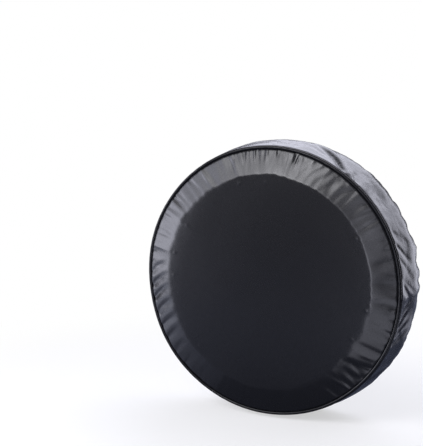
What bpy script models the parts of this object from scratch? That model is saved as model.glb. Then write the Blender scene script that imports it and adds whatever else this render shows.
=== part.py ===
"""Slip-on spare tyre cover: a round vinyl panel and a side band sewn round a piped edge.

Each cover piece is a turned solid. It is drawn as the middle line of the sheet in the (radius, height)
plane, given the sheet's thickness, and turned about the cover's axis. The cover is drawn lying face up,
with height along its axis, and then stood up to face -Y. The origin is the centre of the tyre it covers.
Metres, +Z up.
"""

import math

import bmesh
import bpy
from mathutils import Euler, Vector

# ---- driving dimensions -------------------------------------------------------------------------
PIPING_RADIUS = 0.2600        # middle of the piping, from the axis
BAND_RADIUS = 0.2700          # middle of the sheet at the band's widest
MOUTH_RADIUS = 0.1800         # middle of the elastic hem
DISC_RADIUS = 0.2000          # flat part of the front panel
FACE_HEIGHT = 0.0665          # middle of the sheet in the flat disc
PIPING_HEIGHT = 0.0525        # middle of the piping
WIDEST_HEIGHT = -0.0300       # where the band is widest
REAR_HEIGHT = -0.0680         # middle of the sheet where the band lies behind the tyre

SHEET = 0.0008                # vinyl of the panel and the band
SLEEVE_SHEET = 0.0007         # vinyl round the piping
GAP = 0.0003                  # left between pieces that touch
PIPING_CORD_RADIUS = 0.0020
ELASTIC_RADIUS = 0.0025
THREAD_RADIUS = 0.0002
SEAM_ALLOWANCE = 0.0145       # from the middle of the piping to the cut edges
STITCH_FROM_PIPING = 0.0070   # from the middle of the piping to the seam's stitches
HEM_WIDTH = 0.0160            # from the middle of the elastic to the hem's cut edge
HEM_STITCH_FROM_CORD = 0.0110
JOIN_ALLOWANCE = 0.0100       # each end of the band, turned back inside the cross seam
JOIN_TOP = 0.0300             # the pressed-open part of the cross seam, along the axis
JOIN_FOOT = -0.0400

SEGMENTS = 48                 # facets round every turned piece
CORD_SIDES = 8
THREAD_SIDES = 4
ROUND_STEPS = 8               # points round the piping and the hem tunnel
FOLD_STEPS = 4                # points round a flat fold

# ---- places that follow from them ---------------------------------------------------------------
# The seam's layers, from the panel outwards: panel, two sleeve flanges, band allowance, band.
FLANGE_OFFSET = (SLEEVE_SHEET + GAP) / 2
PANEL_SEAM_RADIUS = PIPING_RADIUS - FLANGE_OFFSET - SLEEVE_SHEET / 2 - GAP - SHEET / 2
BAND_SEAM_RADIUS = PIPING_RADIUS + FLANGE_OFFSET + SLEEVE_SHEET / 2 + GAP + SHEET / 2
THREAD_ROOM = 2 * THREAD_RADIUS + 2 * GAP
BAND_FRONT_RADIUS = BAND_SEAM_RADIUS + SHEET + THREAD_ROOM
ALLOWANCE_HEIGHT = PIPING_HEIGHT - SEAM_ALLOWANCE
SLEEVE_RADIUS = PIPING_CORD_RADIUS + GAP + SLEEVE_SHEET / 2
PIPING_CLEARANCE = SLEEVE_RADIUS + SLEEVE_SHEET / 2 + GAP + SHEET / 2
TUNNEL_RADIUS = ELASTIC_RADIUS + GAP + SHEET / 2
HEM_FLAP_HEIGHT = REAR_HEIGHT + SHEET + GAP
HEM_MIDDLE_HEIGHT = (REAR_HEIGHT + HEM_FLAP_HEIGHT) / 2
HEM_EDGE_RADIUS = MOUTH_RADIUS + HEM_WIDTH
HEM_STITCH_RADIUS = MOUTH_RADIUS + HEM_STITCH_FROM_CORD
THREAD_OFFSET = SHEET / 2 + GAP + THREAD_RADIUS
JOIN_ANGLE = -math.pi / 2     # the cross seam is at the foot of the cover

COLOURS = {
    "vinyl": (0.020, 0.020, 0.023),
    "piping_vinyl": (0.012, 0.012, 0.014),
    "filler_cord": (0.60, 0.60, 0.57),
    "elastic": (0.030, 0.030, 0.030),
    "thread": (0.035, 0.035, 0.040),
}


# ---- helpers ------------------------------------------------------------------------------------
def clear_scene():
    for old in list(bpy.data.objects):
        bpy.data.objects.remove(old, do_unlink=True)


def new_collection(name):
    made = bpy.data.collections.new(name)
    bpy.context.scene.collection.children.link(made)
    return made


def material(name, colour, roughness):
    made = bpy.data.materials.new(name)
    made.use_nodes = True
    shader = made.node_tree.nodes["Principled BSDF"]
    shader.inputs["Base Color"].default_value = (*colour, 1.0)
    shader.inputs["Roughness"].default_value = roughness
    shader.inputs["Metallic"].default_value = 0.0
    return made


def arc(centre, radius, start, end, steps):
    """Points on an arc in the (radius, height) plane, angles in degrees from +radius."""
    points = []
    for i in range(steps + 1):
        angle = math.radians(start + (end - start) * i / steps)
        points.append((centre[0] + radius * math.cos(angle), centre[1] + radius * math.sin(angle)))
    return points


def smooth_line(points, steps):
    """A Catmull-Rom curve through the points, each span in the given number of steps."""
    line = []
    ends = [points[0], *points, points[-1]]
    for i in range(1, len(ends) - 2):
        a, b, c, d = (Vector(p) for p in ends[i - 1:i + 3])
        for k in range(steps):
            t = k / steps
            p = 0.5 * (2 * b + (c - a) * t + (2 * a - 5 * b + 4 * c - d) * t ** 2
                       + (3 * b - a - 3 * c + d) * t ** 3)
            line.append((p.x, p.y))
    line.append(points[-1])
    return line


def side_line(line, offset):
    """The line moved sideways by the offset, to the left of its direction, with mitred corners."""
    moved = []
    for i, p in enumerate(line):
        here = Vector(p)
        before = (here - Vector(line[i - 1])).normalized() if i else None
        after = (Vector(line[i + 1]) - here).normalized() if i < len(line) - 1 else None
        before = before or after
        after = after or before
        along = (before + after).normalized()
        left = Vector((-along.y, along.x))
        stretch = 1.0 / max(left.dot(Vector((-before.y, before.x))), 0.5)
        moved.append(tuple(here + left * offset * stretch))
    return moved


def sheet_outline(line, thickness):
    """The closed outline of a sheet whose middle is the line. It runs clockwise."""
    return side_line(line, thickness / 2) + side_line(line, -thickness / 2)[::-1]


def turned(name, outline, closed, collection):
    """Turn an outline in the (radius, height) plane about the cover's axis."""
    mesh = bpy.data.meshes.new(name)
    points = [(radius, 0.0, height) for radius, height in outline]
    edges = [(i, i + 1) for i in range(len(points) - 1)]
    if closed:
        edges.append((len(points) - 1, 0))
    mesh.from_pydata(points, edges, [])
    made = bpy.data.objects.new(name, mesh)
    collection.objects.link(made)
    screw = made.modifiers.new("turn", "SCREW")
    screw.axis = "Z"
    screw.steps = SEGMENTS
    screw.render_steps = SEGMENTS
    screw.use_merge_vertices = True
    screw.merge_threshold = 0.00001
    screw.use_smooth_shade = True
    return made


def ring(name, centre, radius, sides, collection):
    """A cord that runs right round the cover."""
    made_round = arc(centre, radius, 90, -270, sides)[:-1]
    return turned(name, made_round, True, collection)


def block(name, low, high, collection):
    """A box between two corners."""
    mesh = bpy.data.meshes.new(name)
    shape = bmesh.new()
    bmesh.ops.create_cube(shape, size=1.0)
    middle = [(a + b) / 2 for a, b in zip(low, high)]
    for vert in shape.verts:
        for axis in range(3):
            vert.co[axis] = middle[axis] + vert.co[axis] * (high[axis] - low[axis])
    shape.to_mesh(mesh)
    shape.free()
    made = bpy.data.objects.new(name, mesh)
    collection.objects.link(made)
    return made


def cut(piece, cutter, operation, solver="EXACT"):
    boolean = piece.modifiers.new(cutter.name, "BOOLEAN")
    boolean.operation = operation
    boolean.solver = solver
    boolean.object = cutter
    cutter.hide_render = True
    cutter.display_type = "WIRE"


# ---- middle lines of the sheets, (radius, height) -----------------------------------------------
def panel_line():
    """From the axis over the flat disc, down the sloping ring, round the piping, into the seam."""
    piping = (PIPING_RADIUS, PIPING_HEIGHT)
    slope_start = (DISC_RADIUS + 0.0125, FACE_HEIGHT - 0.0017)
    slope_end = (PIPING_RADIUS - PIPING_CLEARANCE - 0.0020, PIPING_HEIGHT + 0.0020)
    into_seam = arc(piping, PIPING_CLEARANCE + 0.0002, 170, 225, 3)
    flat = [(0.0, FACE_HEIGHT), (DISC_RADIUS / 2, FACE_HEIGHT), (DISC_RADIUS, FACE_HEIGHT)]
    ease = [(DISC_RADIUS + 0.0065, FACE_HEIGHT - 0.0004), slope_start]
    mid_slope = ((slope_start[0] + slope_end[0]) / 2, (slope_start[1] + slope_end[1]) / 2)
    stack = [(PANEL_SEAM_RADIUS, PIPING_HEIGHT - 0.0050), (PANEL_SEAM_RADIUS, ALLOWANCE_HEIGHT)]
    return flat + ease + [mid_slope, slope_end] + into_seam + stack


def sleeve_line():
    """One flange, round the cord, and back along the other flange."""
    piping = (PIPING_RADIUS, PIPING_HEIGHT)
    throat = math.degrees(math.asin(FLANGE_OFFSET / SLEEVE_RADIUS))
    bulb = arc(piping, SLEEVE_RADIUS, 270 - throat, -90 + throat, ROUND_STEPS + 2)
    first = (PIPING_RADIUS - FLANGE_OFFSET, ALLOWANCE_HEIGHT)
    last = (PIPING_RADIUS + FLANGE_OFFSET, ALLOWANCE_HEIGHT)
    return [first, *bulb, last]


def tread_line():
    """The band from the fold at the front seam over the tread, round the shoulder, to the hem."""
    front = PIPING_HEIGHT - 0.0045
    guide = [
        (BAND_FRONT_RADIUS, front),
        (BAND_FRONT_RADIUS + 0.0025, 0.0340),
        (BAND_RADIUS - 0.0020, 0.0060),
        (BAND_RADIUS, WIDEST_HEIGHT),
        (BAND_RADIUS - 0.0035, WIDEST_HEIGHT - 0.0190),
        (BAND_RADIUS - 0.0130, WIDEST_HEIGHT - 0.0310),
        (BAND_RADIUS - 0.0310, REAR_HEIGHT + 0.0013),
        (BAND_RADIUS - 0.0500, REAR_HEIGHT),
    ]
    return smooth_line(guide, 2)


def band_line():
    """From the allowance's cut edge, round the front fold, along the tread, round the hem tunnel."""
    tread = tread_line()
    fold_radius = (BAND_FRONT_RADIUS - BAND_SEAM_RADIUS) / 2
    fold = arc((BAND_SEAM_RADIUS + fold_radius, tread[0][1]), fold_radius, 180, 0, FOLD_STEPS)
    throat = math.degrees(math.asin((REAR_HEIGHT - HEM_MIDDLE_HEIGHT) / TUNNEL_RADIUS))
    tunnel = arc((MOUTH_RADIUS, HEM_MIDDLE_HEIGHT), TUNNEL_RADIUS, throat, -360 - throat, ROUND_STEPS + 2)
    flap_end = (HEM_EDGE_RADIUS, HEM_FLAP_HEIGHT)
    hem_start = (HEM_EDGE_RADIUS + 0.0020, REAR_HEIGHT)
    return [(BAND_SEAM_RADIUS, ALLOWANCE_HEIGHT), *fold, *tread[1:], hem_start, *tunnel, flap_end]


# ---- pieces -------------------------------------------------------------------------------------
def front_panel(collection):
    line = panel_line()
    outside = side_line(line, SHEET / 2)
    inside = side_line(line, -SHEET / 2)
    return turned("front_panel", outside + inside[::-1], False, collection)


def piping(collection):
    cord = ring("piping_cord", (PIPING_RADIUS, PIPING_HEIGHT), PIPING_CORD_RADIUS, CORD_SIDES, collection)
    sleeve = turned("piping_sleeve", sheet_outline(sleeve_line(), SLEEVE_SHEET), True, collection)
    return cord, sleeve


def join_line():
    """The part of the tread line that the pressed-open cross seam lies behind."""
    return [p for p in tread_line() if JOIN_FOOT < p[1] < JOIN_TOP]


def side_band(collection, cutters):
    """The band with its cross seam: each end is turned in and pressed back against the inside."""
    band = turned("side_band", sheet_outline(band_line(), SHEET), True, collection)
    lap = side_line(join_line(), -(SHEET + THREAD_ROOM))
    wall = side_line(join_line(), -(SHEET + THREAD_ROOM) / 2)
    wall_thickness = THREAD_ROOM + SHEET
    turned_back = turned("turned_back_ends", sheet_outline(lap, SHEET), True, cutters)
    end_walls = turned("end_walls", sheet_outline(wall, wall_thickness), True, cutters)
    low = -1.1 * BAND_RADIUS
    deep = 0.5 * low
    reach = SHEET + GAP / 2
    lap_window = block("lap_window", (-JOIN_ALLOWANCE, low, low), (JOIN_ALLOWANCE, deep, -low), cutters)
    wall_window = block("wall_window", (-reach, low, low), (reach, deep, -low), cutters)
    slot = block("band_end_slot", (-GAP / 2, low, low), (GAP / 2, -0.5 * MOUTH_RADIUS, -low), cutters)
    cut(turned_back, lap_window, "INTERSECT")
    cut(end_walls, wall_window, "INTERSECT")
    cut(band, end_walls, "UNION")
    cut(band, turned_back, "UNION")
    cut(band, slot, "DIFFERENCE", "MANIFOLD")
    return band


def elastic(collection):
    place = (MOUTH_RADIUS, HEM_MIDDLE_HEIGHT)
    return ring("elastic_cord", place, ELASTIC_RADIUS, CORD_SIDES, collection)


def seam_threads(collection):
    """The lockstitch through the seam: one thread on the panel's side and one under the fold."""
    height = PIPING_HEIGHT - STITCH_FROM_PIPING
    needle = (PANEL_SEAM_RADIUS - THREAD_OFFSET, height)
    bobbin = (BAND_SEAM_RADIUS + THREAD_OFFSET, height)
    first = ring("front_seam_needle_thread", needle, THREAD_RADIUS, THREAD_SIDES, collection)
    second = ring("front_seam_bobbin_thread", bobbin, THREAD_RADIUS, THREAD_SIDES, collection)
    return first, second


def hem_threads(collection):
    """The hem's lockstitch: one thread behind the cover and one on the turned-in flap."""
    needle = (HEM_STITCH_RADIUS, REAR_HEIGHT - THREAD_OFFSET)
    bobbin = (HEM_STITCH_RADIUS, HEM_FLAP_HEIGHT + THREAD_OFFSET)
    first = ring("hem_needle_thread", needle, THREAD_RADIUS, THREAD_SIDES, collection)
    second = ring("hem_bobbin_thread", bobbin, THREAD_RADIUS, THREAD_SIDES, collection)
    return first, second


def join_thread(name, side, collection):
    """One of the cross seam's two threads, between the band and a turned-back end."""
    route = side_line(join_line(), -(SHEET + THREAD_ROOM) / 2)
    across = side * (GAP / 2 + SHEET + GAP + THREAD_RADIUS)
    curve = bpy.data.curves.new(name, "CURVE")
    curve.dimensions = "3D"
    curve.bevel_depth = THREAD_RADIUS
    curve.bevel_resolution = 0
    curve.use_fill_caps = True
    spline = curve.splines.new("POLY")
    spline.points.add(len(route) - 1)
    for point, (radius, height) in zip(spline.points, route):
        point.co = (across, radius * math.sin(JOIN_ANGLE), height, 1.0)
    made = bpy.data.objects.new(name, curve)
    collection.objects.link(made)
    return made


def main():
    clear_scene()
    parts = new_collection("spare_tyre_cover")
    cutters = new_collection("cutters")
    upright = bpy.data.objects.new("upright", None)
    parts.objects.link(upright)
    upright.rotation_euler = Euler((math.pi / 2, 0.0, 0.0))

    panel = front_panel(parts)
    cord, sleeve = piping(parts)
    band = side_band(parts, cutters)
    elastic_cord = elastic(parts)
    threads = [*seam_threads(parts), *hem_threads(parts)]
    threads.append(join_thread("band_join_needle_thread", 1, parts))
    threads.append(join_thread("band_join_bobbin_thread", -1, parts))

    finishes = [
        (panel, "vinyl", 0.35),
        (band, "vinyl", 0.35),
        (sleeve, "piping_vinyl", 0.30),
        (cord, "filler_cord", 0.90),
        (elastic_cord, "elastic", 0.85),
        *[(thread, "thread", 0.60) for thread in threads],
    ]
    for piece, finish, roughness in finishes:
        piece.data.materials.append(material(piece.name, COLOURS[finish], roughness))
    for piece in list(parts.objects) + list(cutters.objects):
        if piece is not upright:
            piece.parent = upright


main()
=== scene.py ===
"""The looks of a slip-on spare tyre cover: black vinyl, a piped edge and a gathered elastic hem.

The cover stands on its tread with its round face towards -Y. Turns are in degrees, clockwise from the
top as someone in front of the cover sees it. Lengths are in metres. Each sheet is laid out as a grid:
columns run round the cover, and rows run along the sheet from one cut edge to the other.
"""
import math

import bpy
import numpy as np
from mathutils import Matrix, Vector


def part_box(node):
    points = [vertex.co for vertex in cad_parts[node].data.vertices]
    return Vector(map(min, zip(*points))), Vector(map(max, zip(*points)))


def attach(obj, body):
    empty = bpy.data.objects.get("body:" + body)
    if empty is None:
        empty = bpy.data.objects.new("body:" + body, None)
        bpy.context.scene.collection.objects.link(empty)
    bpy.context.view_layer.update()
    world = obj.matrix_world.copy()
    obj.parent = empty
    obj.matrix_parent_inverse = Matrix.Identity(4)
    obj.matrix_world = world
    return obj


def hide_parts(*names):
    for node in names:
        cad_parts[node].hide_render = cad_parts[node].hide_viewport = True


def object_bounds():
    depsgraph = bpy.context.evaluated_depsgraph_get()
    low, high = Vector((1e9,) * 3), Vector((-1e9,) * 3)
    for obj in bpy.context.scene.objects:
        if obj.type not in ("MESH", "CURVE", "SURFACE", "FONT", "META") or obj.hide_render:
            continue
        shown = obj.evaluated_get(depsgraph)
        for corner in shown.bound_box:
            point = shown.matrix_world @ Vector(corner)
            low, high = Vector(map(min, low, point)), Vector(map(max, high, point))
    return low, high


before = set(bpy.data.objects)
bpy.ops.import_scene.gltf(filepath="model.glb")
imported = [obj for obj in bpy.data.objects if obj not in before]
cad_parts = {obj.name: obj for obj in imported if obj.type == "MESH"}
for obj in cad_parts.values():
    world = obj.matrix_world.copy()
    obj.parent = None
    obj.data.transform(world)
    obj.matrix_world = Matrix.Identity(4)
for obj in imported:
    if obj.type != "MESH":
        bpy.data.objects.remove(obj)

CAD_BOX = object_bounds()


# ---- sizes ----
def ring_in_frame(node):
    """Middle radius, middle Y and half thickness of a CAD ring that runs about the Y axis."""
    low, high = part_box(node)
    half = (high[1] - low[1]) / 2
    return (high[0] - low[0]) / 2 - half, (low[1] + high[1]) / 2, half


PIPING_RADIUS, PIPING_Y, CORD_RADIUS = ring_in_frame("piping_cord")
MOUTH_RADIUS, HEM_Y, ELASTIC_RADIUS = ring_in_frame("elastic_cord")
SHEET = 0.0008                # vinyl of the panel and the band
SLEEVE_SHEET = 0.0007         # vinyl round the piping
GAP = 0.0003                  # between layers that touch
FACE_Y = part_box("front_panel")[0][1] + SHEET / 2
ALLOWANCE_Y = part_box("front_panel")[1][1]
BAND_RADIUS = (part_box("side_band")[1][0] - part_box("side_band")[0][0]) / 2 - SHEET / 2
REAR_Y = HEM_Y + (SHEET + GAP) / 2
FLOOR_Z = CAD_BOX[0][2]

THREAD_RADIUS = 0.00025
STITCH_PITCH = 0.0040         # one stitch, from hole to hole
THREAD_ROOM = 0.0010          # between the band and its turned-in edges
FLANGE_OFFSET = (SLEEVE_SHEET + GAP) / 2
SLEEVE_RADIUS = CORD_RADIUS + GAP + SLEEVE_SHEET / 2
PIPING_CLEARANCE = SLEEVE_RADIUS + SLEEVE_SHEET / 2 + GAP + SHEET / 2
PANEL_SEAM_RADIUS = PIPING_RADIUS - FLANGE_OFFSET - SLEEVE_SHEET / 2 - GAP - SHEET / 2
BAND_SEAM_RADIUS = PIPING_RADIUS + FLANGE_OFFSET + SLEEVE_SHEET / 2 + GAP + SHEET / 2
BAND_FRONT_RADIUS = BAND_SEAM_RADIUS + SHEET + THREAD_ROOM
TUNNEL_RADIUS = ELASTIC_RADIUS + GAP + SHEET / 2
HEM_WIDTH = 0.0160            # from the elastic to the hem's cut edge
HEM_STITCH = 0.0110           # from the elastic to the hem's stitches
SEAM_STITCH = 0.0070          # from the piping to the seam's stitches
JOIN_ALLOWANCE = 0.0100       # of each band end, turned back inside the cross seam
JOIN_TURN = 180.0             # the band's cross seam is at the foot
TOUCH = 0.00003               # between faces that are sewn tight against each other
WALL_PLACE = (TOUCH + SHEET) / 2             # from the cross seam to the middle of each turned-in end
TURN_IN = 0.0006              # how tightly each end turns in
JOIN_SINK = 0.0005            # how deep the cloth sinks at the cross seam
JOIN_SINK_WIDTH = 0.0016

RING_EDGE_RADIUS = 0.2108     # where the flat disc breaks into the sloping ring, at its corners
RING_SLOPE = 0.270            # fall of the ring for each metre outwards
RING_ROLL = 0.0007            # how softly it breaks
METRES_A_DEGREE = math.radians(1.0) * PIPING_RADIUS
MM = 0.001
CIRCLE = 2 * math.pi          # in radians


# ---- numbers that vary over the cloth ----
def smoothstep(start, end, value):
    t = np.clip((value - start) / (end - start), 0.0, 1.0)
    return t * t * (3.0 - 2.0 * t)


def turn_from(turns, centre):
    """Signed turn from a centre, within half a circle."""
    return (turns - centre + 180.0) % 360.0 - 180.0


def between(turns, start, end, soft):
    """1 from one turn to another, with soft ends."""
    middle = (start + end) / 2
    half = (end - start) / 2
    return 1.0 - smoothstep(half - soft, half + soft, np.abs(turn_from(turns, middle)))


def summed_waves(turns, reach, seed, terms, wave):
    """A random field about -1 to 1; wave draws one wave's count round the cover and turn a metre."""
    draw = np.random.RandomState(seed)
    field = np.zeros(np.broadcast(turns, reach).shape)
    for _ in range(terms):
        count, along = wave(draw)
        field = field + np.cos(np.radians(turns) * count + reach * along + draw.uniform(0, CIRCLE))
    return field / math.sqrt(terms / 2) / 1.6


def ripple(turns, reach, seed, waves, tilt):
    """A smooth random field: waves is a range of waves a circle, tilt of waves a metre."""
    def wave(draw):
        return draw.randint(waves[0], waves[1] + 1), draw.uniform(-tilt, tilt) * CIRCLE
    return summed_waves(turns, reach, seed, 14, wave)


def rumple(turns, reach, seed, size):
    """A random field with no direction of its own; size is its usual wavelength."""
    def wave(draw):
        wavelength = size * draw.uniform(0.6, 1.9)
        heading = draw.uniform(0, CIRCLE)
        count = round(CIRCLE * PIPING_RADIUS / wavelength * math.cos(heading))
        return count, CIRCLE / wavelength * math.sin(heading)
    return summed_waves(turns, reach, seed, 36, wave)


def gathers(turns, reach, seed, count, height, width, length, lean, sharp=1.0, start=0.004):
    """Puckers that fan out from a gathered edge, side by side with sharp valleys between them.

    reach is the distance from the edge, count how many puckers go round, height and length their
    largest, width their half width in pitches, and lean how far they turn aside, in degrees a metre.
    """
    draw = np.random.RandomState(seed)
    pitch = 360.0 / count
    field = np.zeros(np.broadcast(turns, reach).shape)
    for i in range(count):
        centre = (i + draw.uniform(-0.45, 0.45)) * pitch
        half = pitch * width * draw.uniform(0.55, 1.5)
        tall = height * draw.uniform(0.25, 1.0)
        long = length * draw.uniform(0.30, 1.0)
        aside = lean * draw.uniform(-1.0, 1.0)
        widen = 1.0 + 0.8 * np.clip(reach / long, 0.0, 1.0)
        across = turn_from(turns, centre + aside * reach) / (half * widen)
        lump = np.clip(1.0 - across ** 2, 0.0, None) ** sharp
        fade = smoothstep(-start, start, reach) * (1.0 - smoothstep(0.15 * long, long, reach))
        field = np.maximum(field, tall * lump * fade)
    return field


def pleats(turns, reach, seed, count, span, depth, width, length, lean):
    """Many small folds side by side, each fading out on its way from an edge.

    span is the range of turns they lie in. depth, width and length are each (least, most), depth
    below 0 for a ridge, and lean is how many degrees aside they go a metre.
    """
    draw = np.random.RandomState(seed)
    field = np.zeros(np.broadcast(turns, reach).shape)
    for _ in range(count):
        centre = draw.uniform(*span)
        deep = draw.uniform(*depth)
        half = draw.uniform(*width)
        long = draw.uniform(*length)
        aside = draw.uniform(*lean)
        before, after = draw.uniform(0.5, 1.4, 2)
        across = turn_from(turns, centre + aside * reach) * METRES_A_DEGREE
        uneven = np.where(across < 0, before, after)
        wide = half * (1.0 + 0.9 * np.clip(reach / long, 0.0, 1.0)) * uneven
        fade = 1.0 - smoothstep(0.25 * long, long, reach)
        field = field - deep * fade * np.exp(-(across / wide) ** 2)
    return field


def fold(turns, reach, path, depth, before, after, spread):
    """A fold drawn through (turn, reach) points: a groove, or with depth < 0 a ridge.

    before and after are how wide it is on the sides of the lower and of the higher turns, so the
    narrower side is the steeper. All lengths but the reach at hand are in millimetres here, and the
    fold widens by spread on its way.
    """
    first = path[0][0]
    spots = [complex(turn_from(turn, first) * METRES_A_DEGREE, far * MM) for turn, far in path]
    here = turn_from(turns, first) * METRES_A_DEGREE + 1j * reach
    nearest = np.full(here.shape, np.inf)
    side = np.zeros(here.shape)
    along = np.zeros(here.shape)
    last = len(spots) - 2
    for i, (start, end) in enumerate(zip(spots, spots[1:])):
        length = abs(end - start)
        off = (here - start) * (end - start).conjugate() / length
        run = np.clip(off.real, 0.0 if i else -1.0, length if i < last else 1.0)
        off = off - run
        closer = np.abs(off) < nearest
        nearest = np.where(closer, np.abs(off), nearest)
        side = np.where(closer, off.imag, side)
        along = np.where(closer, (i + run / length) / (last + 1), along)
    wide = np.where(side > 0, before * MM, after * MM) * (1.0 + spread * np.clip(along, 0.0, 1.0))
    fade = smoothstep(-0.10, 0.10, along) * (1.0 - smoothstep(0.65, 1.35, along))
    return -depth * MM * fade * np.exp(-(nearest / wide) ** 2)


# ---- meshes from grids ----
def turned_grid(turns, radii, depths):
    """Points of a sheet that goes round the cover: rows of radius and depth, columns of turn."""
    angle = np.radians(turns)
    return np.stack([radii * np.sin(angle), depths + 0.0 * angle, radii * np.cos(angle)], axis=-1)


def strip_uv(turns, radius, run):
    """Where points lie on a strip of cloth or a cord: across from the join, and along its section."""
    across = np.radians(turns - JOIN_TURN) * radius
    return np.stack(np.broadcast_arrays(across, run), axis=-1)


def quads_of(grid):
    """Corner lists of the cells of a grid of anything, in the order that faces outwards."""
    cells = np.stack([grid[:-1, :-1], grid[:-1, 1:], grid[1:, 1:], grid[1:, :-1]], axis=2)
    return cells.reshape((-1, 4) + grid.shape[2:])


def mesh_of(name, verts, faces, corner_uv):
    mesh = bpy.data.meshes.new(name)
    mesh.from_pydata(np.asarray(verts).tolist(), [], [list(map(int, face)) for face in faces])
    layer = mesh.uv_layers.new(name="cut")
    layer.data.foreach_set("uv", np.asarray(corner_uv, dtype=np.float32).ravel())
    mesh.update()
    return mesh


def closed_mesh(name, points, uv, period=0.0, pole=None):
    """A surface closed round the cover and, with a pole, at its middle. period is uv's full turn."""
    rows, columns = points.shape[:2]
    index = np.arange(rows * columns).reshape(rows, columns)
    index = np.hstack([index, index[:, :1]])
    uv = np.hstack([uv, uv[:, :1] + (period, 0.0)])
    faces = quads_of(index).tolist()
    corner_uv = quads_of(uv).reshape(-1, 2)
    verts = points.reshape(-1, 3)
    if pole is not None:
        verts = np.vstack([verts, [pole]])
        faces += [[rows * columns, index[0, i + 1], index[0, i]] for i in range(columns)]
        pole_uv = np.array([[(0.0, 0.0), uv[0, i + 1], uv[0, i]] for i in range(columns)])
        corner_uv = np.vstack([corner_uv, pole_uv.reshape(-1, 2)])
    return mesh_of(name, verts, faces, corner_uv)


def placed(name, data):
    made = bpy.data.objects.new(name, data)
    bpy.context.scene.collection.objects.link(made)
    return made


def show(mesh, *materials):
    for material in materials:
        mesh.materials.append(material)
    return placed(mesh.name, mesh)


def pick(piece):
    """Makes a piece the only selected one, and the active one."""
    bpy.ops.object.select_all(action="DESELECT")
    piece.select_set(True)
    bpy.context.view_layer.objects.active = piece


def cloth(mesh, vinyl, backing, thickness):
    """A sheet with its walls: vinyl outside, backing inside and on the cut edges."""
    piece = show(mesh, vinyl, backing)
    wall = piece.modifiers.new("wall", "SOLIDIFY")
    wall.thickness = thickness
    wall.offset = 0.0
    wall.material_offset = 1
    wall.material_offset_rim = 1
    apply_modifiers(piece)
    piece.data.shade_smooth()
    return piece


def apply_modifiers(piece):
    pick(piece)
    for modifier in list(piece.modifiers):
        bpy.ops.object.modifier_apply(modifier=modifier.name)


def line_length(radii, depths):
    """Distance along a profile line, from its first point."""
    steps = np.hypot(np.diff(radii), np.diff(depths))
    return np.concatenate([[0.0], np.cumsum(steps)])


def evened(points, spacing):
    """A smooth line through a few (radius, depth) points, with points about a spacing apart."""
    points = np.array(points)
    fine = []
    ends = np.vstack([2 * points[0] - points[1], points, 2 * points[-1] - points[-2]])
    for i in range(1, len(ends) - 2):
        a, b, c, d = ends[i - 1:i + 3]
        t = np.linspace(0.0, 1.0, 40, endpoint=False)[:, None]
        fine.append(0.5 * (2 * b + (c - a) * t + (2 * a - 5 * b + 4 * c - d) * t ** 2
                           + (3 * b - a - 3 * c + d) * t ** 3))
    fine = np.vstack(fine + [points[-1:]])
    run = line_length(fine[:, 0], fine[:, 1])
    wanted = np.linspace(0.0, run[-1], max(2, int(round(run[-1] / spacing)) + 1))
    return np.stack([np.interp(wanted, run, fine[:, k]) for k in (0, 1)], axis=-1)


def round_points(centre, radius, start, end, steps):
    """Points on an arc in the (radius, depth) plane, from +radius towards the rear, in degrees."""
    angle = np.radians(np.linspace(start, end, steps + 1))
    return np.stack([centre[0] + radius * np.cos(angle), centre[1] + radius * np.sin(angle)], axis=-1)


# ---- the seam's route ----
def seam_shift(turns):
    """How far the piped seam strays from a true circle: outwards, and to the rear."""
    outwards = 0.0007 * ripple(turns, 0.0, 11, (3, 9), 0.0)
    rearwards = 0.0008 * ripple(turns, 0.0, 12, (2, 8), 0.0)
    return outwards, rearwards


# ---- front panel ----
PANEL_STEP = 0.32             # degrees from column to column
PANEL_TURNS = JOIN_TURN + np.arange(0.0, 360.0, PANEL_STEP)[None, :]
ALLOWANCE_ROW = 0.0048        # from row to row where the panel turns into the seam

# Where the folds tug at the disc's edge: turn, and millimetres outwards.
EDGE_CORNERS = [(3, 1.0), (28, -0.6), (46, 0.2), (62, 1.2), (80, 0.4), (102, 0.8), (117, -1.6),
                (132, -3.0), (147, -2.0), (166, 0.4), (190, 1.2), (212, -0.4), (231, 0.8), (250, -0.6),
                (268, 0.8), (285, 0.0), (301, 1.6), (322, -0.8), (344, 0.6)]

# Folds of the ring: turn at the piping, turn and reach of the inner end, depth, and the widths before
# and after. Lengths are in millimetres in this list and the three after it.
LEFT_FOLDS = [(269.5, 276, 36, 1.3, 7, 3.4), (263.5, 269.5, 38, 1.9, 8, 3.8),
              (257.5, 263.5, 40, 1.9, 8, 3.8), (251, 256, 42, 2.1, 9, 4.4), (245, 248, 46, 1.5, 8, 4.2),
              (239, 241, 40, 1.1, 7, 4), (232, 234, 38, 0.8, 8, 4), (224, 226, 34, 0.6, 8, 4),
              (215, 216, 30, 0.5, 8, 5)]
RIGHT_FOLDS = [(109, 103, 50, 1.2, 5.5, 12), (117.5, 118.5, 58, 1.4, 6.5, 13),
               (125, 132, 62, 1.7, 7.0, 12), (131.5, 136, 50, 1.2, 6.5, 8), (138, 141, 44, 1.0, 6.0, 6),
               (145, 148, 40, 1.0, 5.5, 6), (151, 154, 36, 0.7, 5, 6), (113.5, 111, 26, 0.5, 3.5, 5),
               (121.5, 124, 30, 0.5, 3.5, 5), (96, 94, 34, 0.8, 5, 8), (87, 86, 42, 0.8, 6, 8),
               (76, 77, 40, 1.0, 6, 8)]
RIGHT_RIDGES = [(139, 142, 38, -1.3, 5, 3), (146, 149, 32, -1.0, 5, 3), (103, 101, 26, -0.5, 5, 5)]
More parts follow.
